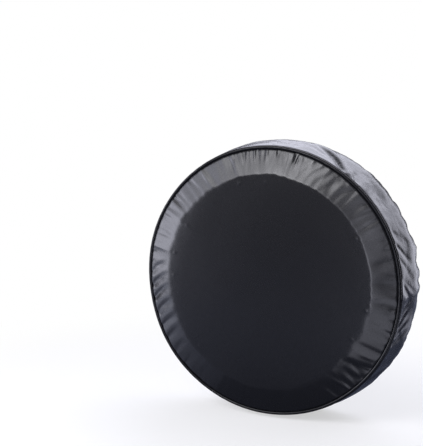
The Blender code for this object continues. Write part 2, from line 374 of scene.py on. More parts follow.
TOP_FOLDS = [(14, 11, 38, 0.5, 4, 5), (18.5, 14, 40, 0.6, 5, 6), (23, 17.5, 44, 0.7, 5, 6),
             (27.5, 21.5, 40, 0.6, 4, 6), (32, 26, 46, 0.8, 6, 7), (37.5, 31.5, 42, 0.7, 6, 7),
             (43, 38, 44, 0.5, 7, 8), (50, 47, 40, 0.4, 7, 9), (57, 57, 44, 0.4, 7, 9),
             (66, 67, 40, 0.3, 7, 10)]

# Small folds of the ring, as pleats takes them: seed, count, span, depth, width, length and lean.
RING_PLEATS = [
    (31, 84, (-20, 15), (-0.60 * MM, 0.80 * MM), (0.0018, 0.0034), (0.018, 0.055), (-50, 60)),
    (32, 170, (0, 360), (-0.30 * MM, 0.45 * MM), (0.0020, 0.0042), (0.008, 0.026), (-60, 60)),
    (33, 40, (280, 344), (-0.95 * MM, 1.10 * MM), (0.0028, 0.0060), (0.035, 0.070), (-10, 60)),
    (34, 22, (200, 290), (-0.40 * MM, 0.35 * MM), (0.0034, 0.0064), (0.030, 0.055), (40, 130)),
]
BROAD_PLEATS = (35, 60, (14, 160), (-0.80 * MM, 0.90 * MM), (0.0040, 0.0072), (0.040, 0.070), (-80, 20))

# Faint bumps in the disc: turn, radius, and height in millimetres.
DIMPLES = [(-17, 0.198, 0.35), (-1, 0.194, 0.3), (61, 0.203, 0.4), (301, 0.198, 0.2), (283, 0.202, 0.25),
           (270, 0.199, 0.3), (100, 0.203, 0.5), (118, 0.196, 0.4), (226, 0.197, 0.3), (186, 0.192, 0.3)]

DIMPLE_WIDTH = 0.0030


def ring_edge(turns):
    """Radius where the disc breaks into the ring: nearly straight pulls from corner to corner."""
    first_turn, first_pull = EDGE_CORNERS[0]
    corners, pulls = np.array(EDGE_CORNERS + [(first_turn + 360.0, first_pull)]).T
    pulls = pulls * MM
    turn = (turns - corners[0]) % 360.0 + corners[0]
    which = np.clip(np.searchsorted(corners, turn.ravel(), side="right") - 1, 0, len(corners) - 2)
    which = which.reshape(turn.shape)
    start, end = corners[which], corners[which + 1]
    middle, half = (start + end) / 2, (end - start) / 2
    chord = np.cos(np.radians(half)) / np.cos(np.radians(turn - middle))
    pull = np.interp(turn, corners, pulls)
    small = 0.0004 * ripple(turns, 0.0, 22, (30, 90), 0.0)
    return (RING_EDGE_RADIUS + pull) * (1.0 - 0.45 * (1.0 - chord)) + small


def ring_folds(turns, inward):
    """Height of the panel's gathers and folds; inward is the distance from the piping."""
    height = pleats(turns, inward, *BROAD_PLEATS) * (1.0 - 0.42 * between(turns, 39, 64, 5))
    for row in RING_PLEATS:
        height += pleats(turns, inward, *row)
    for turn, inner, end, *shape in LEFT_FOLDS + RIGHT_FOLDS + TOP_FOLDS:
        path = [(turn, 2), ((turn + inner) / 2, end * 0.45), (inner, end)]
        height += fold(turns, inward, path, *shape, spread=0.6)
    for turn, inner, end, *shape in RIGHT_RIDGES:
        height += fold(turns, inward, [(turn, 3), (inner, end)], *shape, spread=0.4)
    return height


def disc_dimples(turns, radii):
    """Faint bumps just inside the disc's edge, where the folds of the ring tug at it."""
    height = np.zeros(np.broadcast(turns, radii).shape)
    for turn, radius, tall in DIMPLES:
        across = np.radians(turn_from(turns, turn)) * radius / DIMPLE_WIDTH
        height += tall * MM * np.exp(-across ** 2 - ((radii - radius) / DIMPLE_WIDTH) ** 2)
    return height


def front_panel(vinyl, backing):
    """The round panel: flat disc, rolled edge, gathered ring and the allowance inside the seam."""
    turns = PANEL_TURNS
    ring_end = PIPING_RADIUS - PIPING_CLEARANCE - 0.0010
    disc = np.array([0.012, 0.05, 0.10, 0.14, 0.165, 0.176, 0.184, 0.189])
    inner = np.arange(0.1930, 0.2045, 0.0020)
    edge = np.arange(0.2055, 0.2160, 0.0010)
    slope = np.linspace(0.2175, ring_end, 16)
    face_radii = np.concatenate([disc, inner, edge, slope])[:, None]
    soft_left = between(turns, 236, 328, 18)
    breaks = ring_edge(turns) + 0.0036 * soft_left
    roll = RING_ROLL + 0.0022 * soft_left + 0.0024 * between(turns, 104, 165, 14)
    over = (face_radii - breaks) / roll
    fall = RING_SLOPE * roll * np.logaddexp(0.0, np.clip(over, -60, 600))
    rolled = 0.0003 * smoothstep(-0.030, 0.006, face_radii - breaks) * between(turns, 232, 325, 22)
    inward = PIPING_RADIUS - face_radii
    slack = 0.00025 * ripple(turns, face_radii, 23, (2, 6), 6.0) * smoothstep(0.03, 0.15, face_radii)
    calm = smoothstep(-0.011, 0.003, face_radii - breaks)
    height = ring_folds(turns, inward) * calm + slack + disc_dimples(turns, face_radii)
    face_depths = FACE_Y + fall + rolled - height
    last_y = face_depths[-1:, :]

    turn_in = round_points((PIPING_RADIUS, PIPING_Y), PIPING_CLEARANCE + 0.0002, 200, 135, 4)
    stack = np.array([(PANEL_SEAM_RADIUS, PIPING_Y + 0.0050), (PANEL_SEAM_RADIUS, ALLOWANCE_Y)])
    seam = np.vstack([turn_in, evened(stack, ALLOWANCE_ROW)])
    seam_radii = seam[:, :1] + 0.0 * turns
    seam_depths = seam[:, 1:] + 0.0 * turns
    ease = np.linspace(1.0, 0.0, 4)[:, None]
    seam_depths[:4] += ease * np.clip(last_y - seam_depths[:1] + 0.0012, -0.001, 0.0015)

    radii = np.vstack([face_radii + 0.0 * turns, seam_radii])
    depths = np.vstack([face_depths, seam_depths])
    out, back = seam_shift(turns)
    hold = smoothstep(0.215, PIPING_RADIUS - 0.006, radii)
    points = turned_grid(turns, radii + out * hold, depths + back * hold)
    run = np.concatenate([face_radii[:, 0], face_radii[-1, 0] + 0.0030 * np.arange(1, len(seam) + 1)])
    angle = np.radians(turns)
    uv = np.stack([run[:, None] * np.sin(angle), run[:, None] * np.cos(angle)], axis=-1)
    mesh = closed_mesh("front_panel_vinyl", points, uv, pole=(0.0, FACE_Y, 0.0))
    return cloth(mesh, vinyl, backing, SHEET)


# ---- piping ----
PIPING_STEP = 0.5
PIPING_TURNS = JOIN_TURN + np.arange(0.0, 360.0, PIPING_STEP)[None, :]
CORD_STEP = 1.0
CORD_SIDES = 12


def piping_sleeve(vinyl, backing):
    """The strip folded round the cord: a flange, the round, and the other flange."""
    turns = PIPING_TURNS
    throat = math.degrees(math.asin(FLANGE_OFFSET / SLEEVE_RADIUS))
    bulb = round_points((PIPING_RADIUS, PIPING_Y), SLEEVE_RADIUS, 90 + throat, 450 - throat, 16)
    flange_y = np.linspace(ALLOWANCE_Y, PIPING_Y + SLEEVE_RADIUS + 0.002, 3)
    first = np.stack([np.full(3, PIPING_RADIUS - FLANGE_OFFSET), flange_y], axis=-1)
    last = np.stack([np.full(3, PIPING_RADIUS + FLANGE_OFFSET), flange_y[::-1]], axis=-1)
    line = np.vstack([first, bulb, last])
    out, back = seam_shift(turns)
    pull = 0.00008 * ripple(turns, 0.0, 41, (40, 110), 0.0)
    swell = np.concatenate([np.zeros(3), np.ones(len(bulb)), np.zeros(3)])[:, None]
    from_middle_r = (line[:, :1] - PIPING_RADIUS) / SLEEVE_RADIUS
    from_middle_y = (line[:, 1:] - PIPING_Y) / SLEEVE_RADIUS
    radii = line[:, :1] + out + swell * from_middle_r * pull
    depths = line[:, 1:] + back + swell * from_middle_y * pull
    run = line_length(line[:, 0], line[:, 1])[:, None]
    uv = strip_uv(turns, PIPING_RADIUS, run)
    mesh = closed_mesh("piping_sleeve_vinyl", turned_grid(turns, radii, depths), uv, CIRCLE * PIPING_RADIUS)
    return cloth(mesh, vinyl, backing, SLEEVE_SHEET)


def cord_piece(name, radius, depth, half, finish, shift):
    """A round cord that runs right round the cover."""
    turns = JOIN_TURN + np.arange(0.0, 360.0, CORD_STEP)[None, :]
    line = round_points((radius, depth), half, 0, 360, CORD_SIDES)
    line[-1] = line[0]
    out, back = shift(turns)
    points = turned_grid(turns, line[:, :1] + out, line[:, 1:] + back)
    run = np.linspace(0, CIRCLE * half, CORD_SIDES + 1)[:, None]
    uv = strip_uv(turns, radius, run)
    piece = show(closed_mesh(name, points, uv, CIRCLE * radius), finish)
    weld = piece.modifiers.new("weld", "WELD")
    weld.merge_threshold = 0.00001
    apply_modifiers(piece)
    piece.data.shade_smooth()
    return piece


# ---- side band ----
BAND_COLUMNS = 600
TREAD_ROW = 0.0037            # from row to row over the tread
BAND_TURNS = JOIN_TURN + np.linspace(0.0, 360.0, BAND_COLUMNS)[None, :]
TREAD_GUIDE = [
    (BAND_FRONT_RADIUS, PIPING_Y + 0.0045),
    (BAND_FRONT_RADIUS + 0.0013, -0.0350),
    (BAND_RADIUS - 0.0024, -0.0060),
    (BAND_RADIUS - 0.0003, 0.0200),
    (BAND_RADIUS - 0.0035, 0.0430),
    (BAND_RADIUS - 0.0125, 0.0595),
    (BAND_RADIUS - 0.0310, REAR_Y - 0.0013),
    (BAND_RADIUS - 0.0500, REAR_Y),
    (MOUTH_RADIUS + HEM_WIDTH + 0.002, REAR_Y),
]
ALLOWANCE, NOSE, TREAD, HEM, TUNNEL, FLAP = range(6)

# Folds of the band: points of turn and reach from the piping in millimetres, then depth and the widths
# before and after.
BAND_FOLDS = [
    ([(33, 3), (30, 15), (24, 40), (14, 72)], 2.8, 7, 2.0),
    ([(29, 4), (24, 22), (17, 44)], 0.6, 4, 2.0),
    ([(36, 3), (33.5, 15), (28, 38), (20, 66)], -2.6, 3.6, 7),
    ([(40, 3), (38.5, 16), (36, 34)], 2.4, 4, 6),
    ([(46, 2), (44, 24), (41, 44)], -0.8, 6, 9),
    ([(52, 1), (50, 18), (49, 34)], 0.7, 5, 8),
    ([(10, 18), (2, 40), (-6, 62)], 0.9, 5, 8),
    ([(22, 28), (12, 46), (4, 66)], 0.8, 4, 8),
    ([(64, 2), (68, 26), (71, 52)], 0.7, 4, 7),
    ([(70, 2), (75, 24), (79, 46)], 1.0, 3.5, 7),
    ([(76, 2), (81, 22), (85, 44)], 0.6, 3, 6),
    ([(87, 3), (91, 24), (94, 46)], 0.9, 4, 7),
    ([(101, 2), (97, 18), (95, 36)], 1.8, 6, 3),
    ([(105, 1), (101, 16), (98, 34)], 2.4, 6, 3),
    ([(109, 1), (106, 18), (103, 40)], 2.6, 6, 3.5),
    ([(113, 2), (111, 22), (108, 50)], 2.4, 6, 4),
    ([(120, 2), (121, 30), (123, 60)], 2.0, 6, 6),
    ([(131, 2), (130, 30), (127, 60)], 2.2, 7, 6),
]

BAND_PLEATS = [
    (51, 130, (0, 360), (-0.3 * MM, 0.4 * MM), (0.002, 0.004), (0.006, 0.022), (-60, 60)),
    (57, 26, (64, 108), (-0.4 * MM, 0.7 * MM), (0.0020, 0.0036), (0.030, 0.070), (120, 240)),
]


def band_rows():
    """The band's middle line from its front cut edge to the hem's, with what each row belongs to."""
    tread = evened(TREAD_GUIDE, TREAD_ROW)
    fold_radius = (BAND_FRONT_RADIUS - BAND_SEAM_RADIUS) / 2
    allowance = evened([(BAND_SEAM_RADIUS, ALLOWANCE_Y), (BAND_SEAM_RADIUS, tread[0][1])], 0.0050)[:-1]
    nose = round_points((BAND_SEAM_RADIUS + fold_radius, tread[0][1]), fold_radius, 180, 360, 4)[:-1]
    hem_run = np.linspace(MOUTH_RADIUS + HEM_WIDTH, MOUTH_RADIUS + TUNNEL_RADIUS + 0.0008, 5)
    hem = np.stack([hem_run, np.full(5, REAR_Y)], axis=-1)
    throat = math.degrees(math.asin((REAR_Y - HEM_Y) / TUNNEL_RADIUS))
    tunnel = round_points((MOUTH_RADIUS, HEM_Y), TUNNEL_RADIUS, throat, 360 - throat, 12)
    flap = np.stack([hem_run[::-1], np.full(5, REAR_Y - SHEET - GAP)], axis=-1)
    strips = [allowance, nose, tread, hem, tunnel, flap]
    part = np.concatenate([np.full(len(strip), i) for i, strip in enumerate(strips)])
    return np.vstack(strips), part


def band_folds(turns, from_front, from_hem):
    """How far the band stands out from the tyre: puckers at both edges, and the folds between."""
    drawn = gathers(turns, from_hem, 52, 62, 0.0062, 0.60, 0.105, 35, start=0.030)
    tucks = gathers(turns, from_hem, 53, 104, 0.0036, 0.50, 0.050, 50, start=0.012)
    height = np.maximum(drawn, tucks)
    calmer_top = 1.0 - 0.75 * between(turns, -75, 36, 12)
    level = 0.0 * from_hem + 0.01
    scallops = gathers(turns, level, 54, 44, 0.0060, 0.52, 1.0, 0, sharp=0.8, start=1e-6)
    nicks = gathers(turns, level, 58, 96, 0.0020, 0.50, 1.0, 0, start=1e-6)
    rim = np.exp(-((from_hem - 0.078) / 0.030) ** 2)
    height = np.maximum(height, (scallops + nicks) * calmer_top * rim)
    right = between(turns, 62, 112, 8)
    worn_rim = between(turns, 42, 114, 10)
    height += worn_rim * 0.0014 * np.exp(-((from_front - 0.058) / 0.022) ** 2)
    height -= worn_rim * 0.0012 * smoothstep(0.064, 0.092, from_front)
    mottled = between(turns, 40, 66, 5)
    for row in BAND_PLEATS:
        height += pleats(turns, from_front, *row)
    crumple = 0.00032 * rumple(turns, from_front, 56, 0.018)
    soft = 0.0005 * rumple(turns, from_front, 55, 0.060)
    crumple = crumple * (0.20 + 0.4 * mottled + 0.25 * right)
    height += (soft + crumple) * smoothstep(0.0, 0.014, from_front)
    for path, *shape in BAND_FOLDS:
        height += fold(turns, from_front, path, *shape, spread=0.3)
    return height


def band_height(turns, from_front, from_hem):
    """Fold height, calmer at the cross seam, which sinks between its two ends."""
    away = turn_from(turns, JOIN_TURN)
    calm = 0.2 + 0.8 * smoothstep(0.0, 4.0, np.abs(away))
    sink = JOIN_SINK * np.exp(-(np.radians(away) * BAND_RADIUS / JOIN_SINK_WIDTH) ** 2)
    return band_folds(turns, from_front, from_hem) * calm - sink


def band_surface():
    """The band's middle surface, row by row, with what each row belongs to and which way is out."""
    line, part = band_rows()
    run = line_length(line[:, 0], line[:, 1])
    first = np.argmax(part == TREAD)
    mouth = np.argmax(part == TUNNEL)
    from_front = np.clip(run - run[first], 0.0, None)
    from_hem = np.clip(run[mouth] - run, 0.0, None)
    flap = part == FLAP
    from_hem[flap] = np.clip(line[flap, 0] - line[mouth, 0], 0.0, None)
    from_front[flap] = run[mouth] - from_hem[flap] - run[first]
    lapped = (part == TREAD) & (from_front > 0.006)
    half_gap = np.where(lapped, WALL_PLACE + TURN_IN, TOUCH)
    turns = BAND_TURNS + np.zeros((len(line), 1))
    gap_turn = np.degrees(half_gap / line[:, 0])
    turns[:, 0] = JOIN_TURN + gap_turn
    turns[:, -1] = JOIN_TURN + 360.0 - gap_turn

    along = np.gradient(line, axis=0)
    along = along / np.linalg.norm(along, axis=1)[:, None]
    normal = np.stack([along[:, 1], -along[:, 0]], axis=-1)
    normal[part == HEM] = (0.0, 1.0)
    normal[flap] = (0.0, 1.0)
    height = band_height(turns, from_front[:, None], from_hem[:, None])
    height[(part == ALLOWANCE) | (part == NOSE)] = 0.0
    height *= smoothstep(-0.002, 0.006, from_front)[:, None]
    tunnel = part == TUNNEL
    lift_r = normal[:, :1] * height
    lift_y = normal[:, 1:] * height
    puff = gathers(turns[tunnel], 0.0, 57, 110, 0.0010, 0.55, 1.0, 0, start=1e-6)
    outward = (line[tunnel] - (MOUTH_RADIUS, HEM_Y)) / TUNNEL_RADIUS
    lift_r[tunnel] = outward[:, :1] * puff
    lift_y[tunnel] = outward[:, 1:] * puff + height[mouth - 1:mouth]
    out, back = seam_shift(turns)
    hold = (1.0 - smoothstep(0.0, 0.03, from_front))[:, None] * (part[:, None] <= TREAD)
    radii = line[:, :1] + lift_r + out * hold
    depths = line[:, 1:] + lift_y + back * hold
    uv = strip_uv(turns, BAND_RADIUS, run[:, None])
    return turns, radii, depths, uv, normal, part, lapped


def band_end(surface, column, onward):
    """One turned-in end of the band: its grid of points and of UV, from the end column inwards."""
    turns, radii, depths, uv, normal, part, lapped = surface
    inwards = np.array([0.33, 0.67, 1.0, 1.0, 1.0]) * (SHEET + THREAD_ROOM)
    across = np.array([-TURN_IN, -TURN_IN, 0.0, 0.45 * JOIN_ALLOWANCE, 0.9 * JOIN_ALLOWANCE])
    lap_turns = turns[lapped, column][:, None] + onward * np.degrees(across / BAND_RADIUS)
    lap_radii = radii[lapped, column][:, None] - normal[lapped, :1] * inwards
    lap_depths = depths[lapped, column][:, None] - normal[lapped, 1:] * inwards
    step = np.array([0.0, 0.0008, 0.0014, 0.0022, 0.0067, 0.0112]) * -onward
    end_uv = uv[lapped, column][:, None, :] + np.stack([step, 0.0 * step], axis=-1)
    return turned_grid(lap_turns, lap_radii, lap_depths), end_uv


def side_band(surface, vinyl, backing):
    """The band, from one end of the cloth to the other, with both ends turned in at the cross seam."""
    turns, radii, depths, uv, normal, part, lapped = surface
    points = turned_grid(turns, radii, depths)
    rows, columns = points.shape[:2]
    index = np.arange(rows * columns).reshape(rows, columns)
    verts, faces, corner_uv = [points.reshape(-1, 3)], [quads_of(index)], [quads_of(uv)]
    count = rows * columns
    for column, onward in ((columns - 1, -1), (0, 1)):
        lap, lap_uv = band_end(surface, column, onward)
        lap_index = count + np.arange(lap.shape[0] * lap.shape[1]).reshape(lap.shape[:2])
        count += lap_index.size
        strip = np.hstack([index[lapped, column][:, None], lap_index])
        if onward > 0:
            strip, lap_uv = strip[:, ::-1], lap_uv[:, ::-1]
        verts.append(lap.reshape(-1, 3))
        faces.append(quads_of(strip))
        corner_uv.append(quads_of(lap_uv))
    mesh = mesh_of("side_band_vinyl", np.vstack(verts), np.vstack(faces), np.vstack(corner_uv))
    return cloth(mesh, vinyl, backing, SHEET)


def hem_shift(turns):
    """How far the hem strays to the rear of its true circle."""
    height = band_height(turns, np.full((1, 1), 0.2), np.full((1, 1), 0.0008))
    return 0.0 * turns, height


# ---- stitches ----
STITCH_RUN = np.array([-0.47, -0.41, -0.22, 0.22, 0.41, 0.47]) * STITCH_PITCH
STITCH_RISE = np.array([-1.4, 0.2, 0.75, 0.75, 0.2, -1.4]) * THREAD_RADIUS
STITCH_SIDES = 5


def unit(vectors):
    return vectors / np.linalg.norm(vectors, axis=-1, keepdims=True)


def stitch_row(name, spots, normals, finish):
    """A row of stitches along a line of spots on a sheet's face, each one dipping into its holes.

    spots are the holes, one more than there are stitches, and normals point out of the face there.
    """
    centres = (spots[1:] + spots[:-1]) / 2
    along = unit(spots[1:] - spots[:-1])
    normal = unit(normals[1:] + normals[:-1])
    side = unit(np.cross(along, normal))
    normal = np.cross(side, along)
    tilt = np.arctan2(np.gradient(STITCH_RISE), np.gradient(STITCH_RUN))[:, None]
    corner = np.arange(STITCH_SIDES) * CIRCLE / STITCH_SIDES
    off_up = THREAD_RADIUS * np.sin(corner)
    run = STITCH_RUN[:, None] - off_up * np.sin(tilt)
    rise = STITCH_RISE[:, None] + off_up * np.cos(tilt)
    off_side = THREAD_RADIUS * np.cos(corner) + 0.0 * tilt
    axes = np.stack([along, normal, side], axis=1)
    one = np.stack([run, rise, off_side], axis=-1)
    verts = centres[:, None, None] + np.einsum("rck,skx->srcx", one, axes)
    rings = len(STITCH_RUN)
    index = np.arange(rings * STITCH_SIDES).reshape(rings, STITCH_SIDES)
    index = np.hstack([index, index[:, :1]])
    walls = quads_of(index).tolist()
    caps = [index[0, :-1].tolist(), index[-1, :-1][::-1].tolist()]
    around, length = np.meshgrid(np.arange(STITCH_SIDES + 1) / STITCH_SIDES, STITCH_RUN)
    wall_uv = quads_of(np.stack([length, around * CIRCLE * THREAD_RADIUS], axis=-1))
    one_uv = np.vstack([wall_uv.reshape(-1, 2), np.zeros((2 * STITCH_SIDES, 2))])
    faces = []
    for stitch in range(len(centres)):
        start = stitch * rings * STITCH_SIDES
        faces += [[start + point for point in face] for face in walls + caps]
    mesh = mesh_of(name, verts.reshape(-1, 3), faces, np.tile(one_uv, (len(centres), 1)))
    piece = show(mesh, finish)
    pick(piece)
    bpy.ops.object.mode_set(mode="EDIT")
    bpy.ops.mesh.select_all(action="SELECT")
    bpy.ops.mesh.normals_make_consistent(inside=False)
    bpy.ops.object.mode_set(mode="OBJECT")
    piece.data.shade_smooth()
    return piece


def seam_stitches(name, radius, outward, finish):
    """Stitches round the front seam, on the inside of the panel's edge or the outside of the band's."""
    count = int(CIRCLE * PIPING_RADIUS / STITCH_PITCH)
    turns = JOIN_TURN + np.linspace(0.4, 359.6, count + 1)
    out, back = seam_shift(turns)
    spots = turned_grid(turns, radius + out, PIPING_Y + SEAM_STITCH + back)
    return stitch_row(name, spots, turned_grid(turns, outward, 0.0), finish)


def hem_stitches(name, surface, part_wanted, rearward, finish):
    """Stitches round the hem, on the rear of the band or on the inside of the turned-in flap."""
    turns, radii, depths, uv, normal, part, lapped = surface
    target = MOUTH_RADIUS + HEM_STITCH
    count = int(CIRCLE * target / STITCH_PITCH)
    wanted = JOIN_TURN + np.linspace(0.6, 359.4, count + 1)
    rows = np.flatnonzero(part == part_wanted)
    near_row, next_row = rows[np.argsort(np.abs(radii[rows, 0] - target))[:2]]
    weight = (target - radii[near_row, 0]) / (radii[next_row, 0] - radii[near_row, 0])
    row_depths = depths[near_row] * (1 - weight) + depths[next_row] * weight
    at = np.interp(wanted, turns[near_row], row_depths) + rearward * SHEET / 2
    spots = turned_grid(wanted, target, at)
    return stitch_row(name, spots, np.tile((0.0, rearward, 0.0), (len(spots), 1)), finish)


def join_stitches(name, surface, column, side, finish):
    """Stitches along the cross seam, hidden between the band and a turned-back end."""
    turns, radii, depths, uv, normal, part, lapped = surface
    room = (SHEET + THREAD_ROOM) / 2
    radius = (radii[lapped, column] - normal[lapped, 0] * room)[::-1]
    depth = (depths[lapped, column] - normal[lapped, 1] * room)[::-1]
    run = line_length(radius, depth)
    holes = np.arange(0.002, run[-1], STITCH_PITCH)
    radius = np.interp(holes, run, radius)
    depth = np.interp(holes, run, depth)
    offset = side * (WALL_PLACE + SHEET / 2)
    spots = np.stack([0.0 * radius + offset, depth, -radius], axis=-1)
    return stitch_row(name, spots, np.tile((side, 0.0, 0.0), (len(spots), 1)), finish)


# ---- finishes ----
class Wiring:
    """Adds nodes to a node tree and links them; a value may be a number, a tuple or another output."""

    def __init__(self, tree):
        self.tree = tree

    def node(self, kind, settings=None, **inputs):
        made = self.tree.nodes.new(kind)
        for setting, value in (settings or {}).items():
            setattr(made, setting, value)
        for socket, value in inputs.items():
            self.feed(made.inputs[socket.replace("_", " ")], value)
        return made

    def feed(self, socket, value):
        if isinstance(value, bpy.types.NodeSocket):
            self.tree.links.new(value, socket)
        else:
            socket.default_value = value

    def math(self, operation, *values):
        made = self.node("ShaderNodeMath", {"operation": operation})
        for socket, value in zip(made.inputs, values):
            self.feed(socket, value)
        return made.outputs["Value"]

    def scaled(self, vector, divisor):
        """A vector divided by a length, so that it counts in those lengths."""
        scale = self.math("DIVIDE", 1.0, divisor)
        made = self.node("ShaderNodeVectorMath", {"operation": "SCALE"}, Vector=vector, Scale=scale)
        return made.outputs["Vector"]

    def bump(self, height, distance, normal):
        made = self.node("ShaderNodeBump", Strength=1.0, Distance=distance, Height=height, Normal=normal)
        return made.outputs["Normal"]

    def scatter(self, texture, where, cell, settings=None, **inputs):
        """A texture whose features are about a cell wide."""
        place = self.scaled(where, cell)
        return self.node("ShaderNodeTex" + texture, settings, Vector=place, **inputs).outputs

    def blend(self, share, first, second):
        """A mix of two shaders; share is how much there is of the second."""
        made = self.node("ShaderNodeMixShader", Fac=share)
        self.feed(made.inputs[1], first)
        self.feed(made.inputs[2], second)
        return made.outputs["Shader"]

    def by_ray(self, unseen, seen):
        """One shader where the camera looks straight at it, another for every other ray."""
        return self.blend(self.node("ShaderNodeLightPath").outputs["Is Camera Ray"], unseen, seen)


def new_group(name, inputs, outputs):
    """A node group with named sockets: its wiring, its input node and its output node."""
    tree = bpy.data.node_groups.new(name, "ShaderNodeTree")
    for socket, kind in inputs:
        tree.interface.new_socket(name=socket, in_out="INPUT", socket_type="NodeSocket" + kind)
    for socket, kind in outputs:
        tree.interface.new_socket(name=socket, in_out="OUTPUT", socket_type="NodeSocket" + kind)
    wires = Wiring(tree)
    return wires, wires.node("NodeGroupInput").outputs, wires.node("NodeGroupOutput").inputs


def new_pattern(name, *sizes):
    """A group that takes a place, sizes, a height and a normal, and gives a normal and a mask."""
    floats = [(size, "Float") for size in (*sizes, "Height")]
    return new_group(name, [("Where", "Vector"), *floats, ("Normal", "Vector")],
                     [("Normal", "Vector"), ("Mask", "Float")])


def end_pattern(wires, given, result, height, mask):
    """Gives a pattern's two results: the normal bent by its height, and its mask."""
    wires.feed(result["Normal"], wires.bump(height, given["Height"], given["Normal"]))
    wires.feed(result["Mask"], mask)
    return wires.tree


def pebble_grain():
    """The pressed grain of vinyl: shallow pebbles, each a cell wide. Mask is 1 between the pebbles."""
    wires, given, result = new_pattern("pebble_grain", "Cell")
    far = wires.scatter("Voronoi", given["Where"], given["Cell"], {"feature": "SMOOTH_F1"}, Scale=1.0,
                        Smoothness=0.6)["Distance"]
    between_cells = wires.math("SMOOTH_MIN", far, 1.0, 0.1)
    return end_pattern(wires, given, result, wires.math("MULTIPLY", far, -1.0), between_cells)


def soft_creases():
    """Fine creases that cloth keeps from its folding. Mask is 1 along a crease."""
    wires, given, result = new_pattern("soft_creases", "Size")
    level = wires.scatter("Noise", given["Where"], given["Size"], Scale=1.0, Detail=1.5, Roughness=0.5,
                          Distortion=0.8)["Fac"]
    off = wires.math("ABSOLUTE", wires.math("SUBTRACT", level, 0.5))
    near_line = wires.math("SUBTRACT", 1.0, wires.math("MINIMUM", wires.math("MULTIPLY", off, 6.0), 1.0))
    line = wires.math("POWER", near_line, 2.0)
    height = wires.math("SUBTRACT", level, wires.math("MULTIPLY", line, 0.35))
    return end_pattern(wires, given, result, height, line)


def fine_dust():
    """Where a little dust lies: broad uneven patches with specks in them."""
    wires, given, result = new_group("fine_dust", [("Where", "Vector"), ("Patch", "Float")],
                                     [("Mask", "Float")])
    patches = wires.scatter("Noise", given["Where"], given["Patch"], Scale=1.0, Detail=4.0)
    specks = wires.scatter("Noise", given["Where"], given["Patch"], Scale=40.0, Detail=2.0)
    both = wires.math("MULTIPLY", patches["Fac"], specks["Fac"])
    wires.feed(result["Mask"], wires.math("MULTIPLY", both, 2.0))
    return wires.tree


def knit_loops():
    """A warp-knitted backing: columns of small slanting loops. Mask is 1 on the yarn."""
    wires, given, result = new_pattern("knit_loops", "Pitch")
    parts = wires.node("ShaderNodeSeparateXYZ", Vector=wires.scaled(given["Where"], given["Pitch"]))
    column = wires.math("PINGPONG", parts.outputs["X"], 0.5)
    row = wires.math("ADD", parts.outputs["Y"], wires.math("MULTIPLY", column, 1.2))
    rise = wires.math("SINE", wires.math("MULTIPLY", row, CIRCLE))
    ridge = wires.math("SINE", wires.math("MULTIPLY", column, CIRCLE))
    yarn = wires.math("MULTIPLY", wires.math("ADD", wires.math("MULTIPLY", rise, 0.5), 0.5), ridge)
    return end_pattern(wires, given, result, yarn, yarn)


def laid_strands():
    """Strands that wind round a cord, and with Cross 1 another set that winds the other way."""
    wires, given, result = new_pattern("laid_strands", "Lay", "Girth", "Strands", "Cross")
    parts = wires.node("ShaderNodeSeparateXYZ", Vector=given["Where"])
    run = wires.math("DIVIDE", parts.outputs["X"], given["Lay"])
    girths = wires.math("DIVIDE", parts.outputs["Y"], given["Girth"])
    turn = wires.math("MULTIPLY", girths, given["Strands"])
    one = wires.math("SINE", wires.math("MULTIPLY", wires.math("ADD", run, turn), CIRCLE))
    other = wires.math("SINE", wires.math("MULTIPLY", wires.math("SUBTRACT", run, turn), CIRCLE))
    crossing = wires.math("MULTIPLY", wires.math("MAXIMUM", one, other), given["Cross"])
    single = wires.math("MULTIPLY", one, wires.math("SUBTRACT", 1.0, given["Cross"]))
    strand = wires.math("ADD", wires.math("MULTIPLY", wires.math("ADD", crossing, single), 0.5), 0.5)
    return end_pattern(wires, given, result, strand, strand)


def new_material(name, colour, roughness):
    """A material with its Principled node's plain values set, and the wiring and node to add to."""
    made = bpy.data.materials.new(name)
    made.use_nodes = True
    shader = made.node_tree.nodes["Principled BSDF"]
    shader.inputs["Base Color"].default_value = (*colour, 1.0)
    shader.inputs["Roughness"].default_value = roughness
    return made, Wiring(made.node_tree), shader


def patterned(wires, group, **inputs):
    """A pattern laid over the flat cut cloth, where X is metres across and Y metres along."""
    where = wires.node("ShaderNodeUVMap", {"uv_map": "cut"}).outputs["UV"]
    return wires.node("ShaderNodeGroup", {"node_tree": group}, Where=where, **inputs).outputs


def plain_normal(wires):
    return wires.node("ShaderNodeNewGeometry").outputs["Normal"]


def tinted(wires, mask, low, high):
    ramp = wires.node("ShaderNodeMix", {"data_type": "RGBA"})
    wires.feed(ramp.inputs["Factor"], mask)
    ramp.inputs[6].default_value = (*low, 1.0)
    ramp.inputs[7].default_value = (*high, 1.0)
    return ramp.outputs[2]


def vinyl_material(name, groups, colour, dusty, roughness, crease_size, crease_height, shine=0.5):
    """Coated cloth: pressed grain and soft creases over a dark, softly shining surface."""
    made, wires, shader = new_material(name, colour, roughness)
    shader.inputs["Specular IOR Level"].default_value = shine
    creased = patterned(wires, groups["creases"], Size=crease_size, Height=crease_height,
                        Normal=plain_normal(wires))
    grain = patterned(wires, groups["grain"], Cell=0.0009, Height=0.000018, Normal=creased["Normal"])
    dust = patterned(wires, groups["dust"], Patch=0.08)
    wires.feed(shader.inputs["Normal"], grain["Normal"])
    wires.feed(shader.inputs["Base Color"], tinted(wires, dust["Mask"], colour, dusty))
    rougher = wires.math("MULTIPLY", grain["Mask"], 0.07)
    wires.feed(shader.inputs["Roughness"], wires.math("ADD", rougher, roughness - 0.02))
    return made


